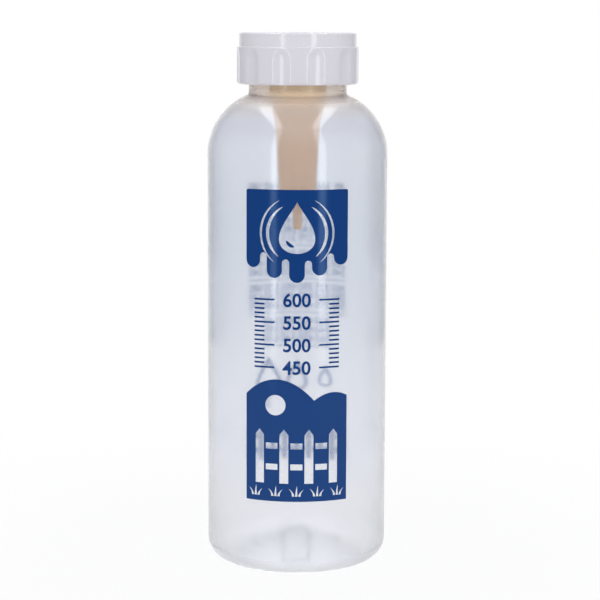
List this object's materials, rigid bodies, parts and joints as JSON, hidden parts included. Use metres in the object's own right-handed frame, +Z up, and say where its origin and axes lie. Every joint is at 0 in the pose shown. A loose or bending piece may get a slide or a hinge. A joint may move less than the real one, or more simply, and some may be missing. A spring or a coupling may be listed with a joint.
{
  "type": "lamb feeding bottle",
  "caption": "Squeezable milk bottle for lambs with a screw cap and a rubber teat stored nipple-down in its neck, with a ball valve in the teat's bell.",
  "frame": {"origin": "centre of the foot ring, on the surface that the bottle stands on", "axes": "+Z up along the bottle's axis, from the foot to the cap; the printed front faces -Y"},
  "size_m": [0.082, 0.082, 0.242],
  "materials": {
    "bottle_plastic": "milky, see-through, soft sheen",
    "cap_plastic": "smooth, slightly glossy white",
    "natural_rubber": "matt beige, slightly see-through",
    "valve_plastic": "smooth white",
    "ball_plastic": "polished blue"
  },
  "bodies": {
    "bottle": {"bottle": "bottle_plastic"},
    "teat_set": {"teat": "natural_rubber", "valve_housing": "valve_plastic", "valve_seat": "valve_plastic"},
    "cap": {"screw_cap": "cap_plastic"},
    "ball": {"valve_ball": "ball_plastic"}
  },
  "joints": [
    {"name": "cap_lift", "type": "slide", "parent": "bottle", "child": "teat_set", "axis": [0, 0, 1], "range_m": [0, 0.007]},
    {"name": "cap_turn", "type": "hinge", "parent": "teat_set", "child": "cap", "pos_m": [0, 0, 0.23455], "axis": [0, 0, 1], "range_deg": [0, 630]},
    {"name": "ball_float", "type": "slide", "parent": "teat_set", "child": "ball", "axis": [0, 0, 1], "range_m": [0, 0.0025]}
  ],
  "couplings": [
    {"joint": "cap_turn", "follows": "cap_lift", "rad_per_m": 1570.8}
  ]
}
